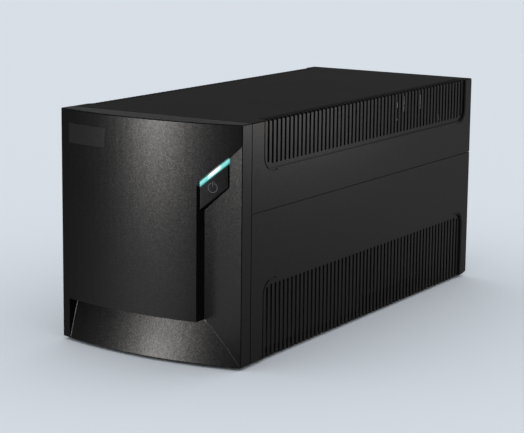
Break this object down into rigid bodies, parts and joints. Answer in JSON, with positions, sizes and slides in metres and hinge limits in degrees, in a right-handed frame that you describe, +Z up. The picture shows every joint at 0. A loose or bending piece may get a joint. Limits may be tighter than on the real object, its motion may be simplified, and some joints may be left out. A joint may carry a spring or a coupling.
{
  "type": "uninterruptible power supply",
  "caption": "Black desktop uninterruptible power supply with a bowed front panel, slanted power key and light bar, comb vents along both sides and mains sockets at the back.",
  "frame": {"origin": "on the floor under the middle of the case", "axes": "+Z up, the front faces -Y, +X is the right side seen from the front"},
  "size_m": [0.149, 0.353, 0.164],
  "materials": {
    "battery_case": "moulded ABS",
    "battery_lid": "moulded ABS",
    "bracket_steel": "galvanised sheet",
    "capacitor_sleeve": "shrunk sleeve",
    "case_plastic": "black moulded plastic with a fine satin texture",
    "choke_ferrite": "wound core",
    "circuit_board": "green solder mask",
    "core_steel": "varnished laminations",
    "fan_plastic": "black moulded plastic",
    "foot_rubber": "moulded rubber",
    "former": "glass-filled nylon",
    "fuse_plastic": "green blade fuse",
    "key_plastic": "black satin plastic",
    "lead_black": "PVC insulation",
    "lead_red": "PVC insulation",
    "led": "clear resin",
    "light_guide": "clear teal light guide",
    "panel_plastic": "black moulded plastic",
    "part_plastic": "black component plastic",
    "plug_plastic": "white nylon",
    "port_metal": "nickel-plated",
    "port_plastic": "black thermoplastic",
    "relay_plastic": "blue moulded plastic",
    "ribbon": "flat cable",
    "screw_steel": "zinc-plated",
    "sink_aluminium": "extruded",
    "socket_plastic": "black thermoplastic",
    "spacer_nylon": "natural nylon",
    "terminal": "tinned",
    "winding": "enamelled copper under tape"
  },
  "bodies": {
    "case": {"front_bezel": "case_plastic", "light_bar": "light_guide", "front_board": "circuit_board", "front_board_screws": "screw_steel", "tact_switch": "part_plastic", "status_leds": "led", "ribbon_plugs": "plug_plastic", "ribbon_cable": "ribbon", "upper_cover": "case_plastic", "lower_base": "case_plastic", "rubber_feet": "foot_rubber", "case_screws": "screw_steel", "battery_case_1": "battery_case", "battery_lid_1": "battery_lid", "battery_case_2": "battery_case", "battery_lid_2": "battery_lid", "battery_terminals": "terminal", "battery_bracket": "bracket_steel", "bracket_screws": "screw_steel", "board_spacers": "spacer_nylon", "power_board": "circuit_board", "heat_sink_1": "sink_aluminium", "heat_sink_2": "sink_aluminium", "transistors": "part_plastic", "capacitors": "capacitor_sleeve", "relays": "relay_plastic", "filter_choke": "choke_ferrite", "buzzer": "part_plastic", "control_chip": "part_plastic", "battery_fuses": "fuse_plastic", "terminal_blocks": "plug_plastic", "negative_lead": "lead_black", "positive_lead": "lead_red", "battery_link": "lead_black", "transformer_core": "core_steel", "transformer_former": "former", "transformer_winding": "winding", "transformer_bracket": "bracket_steel", "rear_panel": "panel_plastic", "outlet_contacts": "terminal", "ac_inlet": "socket_plastic", "inlet_pins": "terminal", "panel_screws": "screw_steel", "breaker_body": "part_plastic", "breaker_nut": "port_metal", "port_board": "circuit_board", "usb_shell": "port_metal", "usb_insert": "port_plastic", "network_jacks": "port_plastic", "fan_frame": "fan_plastic", "outlet_1": "socket_plastic", "outlet_2": "socket_plastic", "outlet_3": "socket_plastic", "outlet_4": "socket_plastic", "outlet_5": "socket_plastic", "outlet_6": "socket_plastic"},
    "power_key": {"power_button": "key_plastic"},
    "fan_wheel": {"fan_rotor": "fan_plastic"},
    "breaker_pin": {"breaker_button": "part_plastic"}
  },
  "joints": [
    {"name": "power_key_press", "type": "slide", "parent": "case", "child": "power_key", "axis": [0, 1, 0], "range_m": [0, 0.001], "stiffness_N_per_m": 900},
    {"name": "fan_spin", "type": "hinge", "parent": "case", "child": "fan_wheel", "pos_m": [0.034, 0.1585, 0.124], "axis": [0, 1, 0], "continuous": true},
    {"name": "breaker_trip", "type": "slide", "parent": "case", "child": "breaker_pin", "axis": [0, 1, 0], "range_m": [0, 0.0035]}
  ]
}
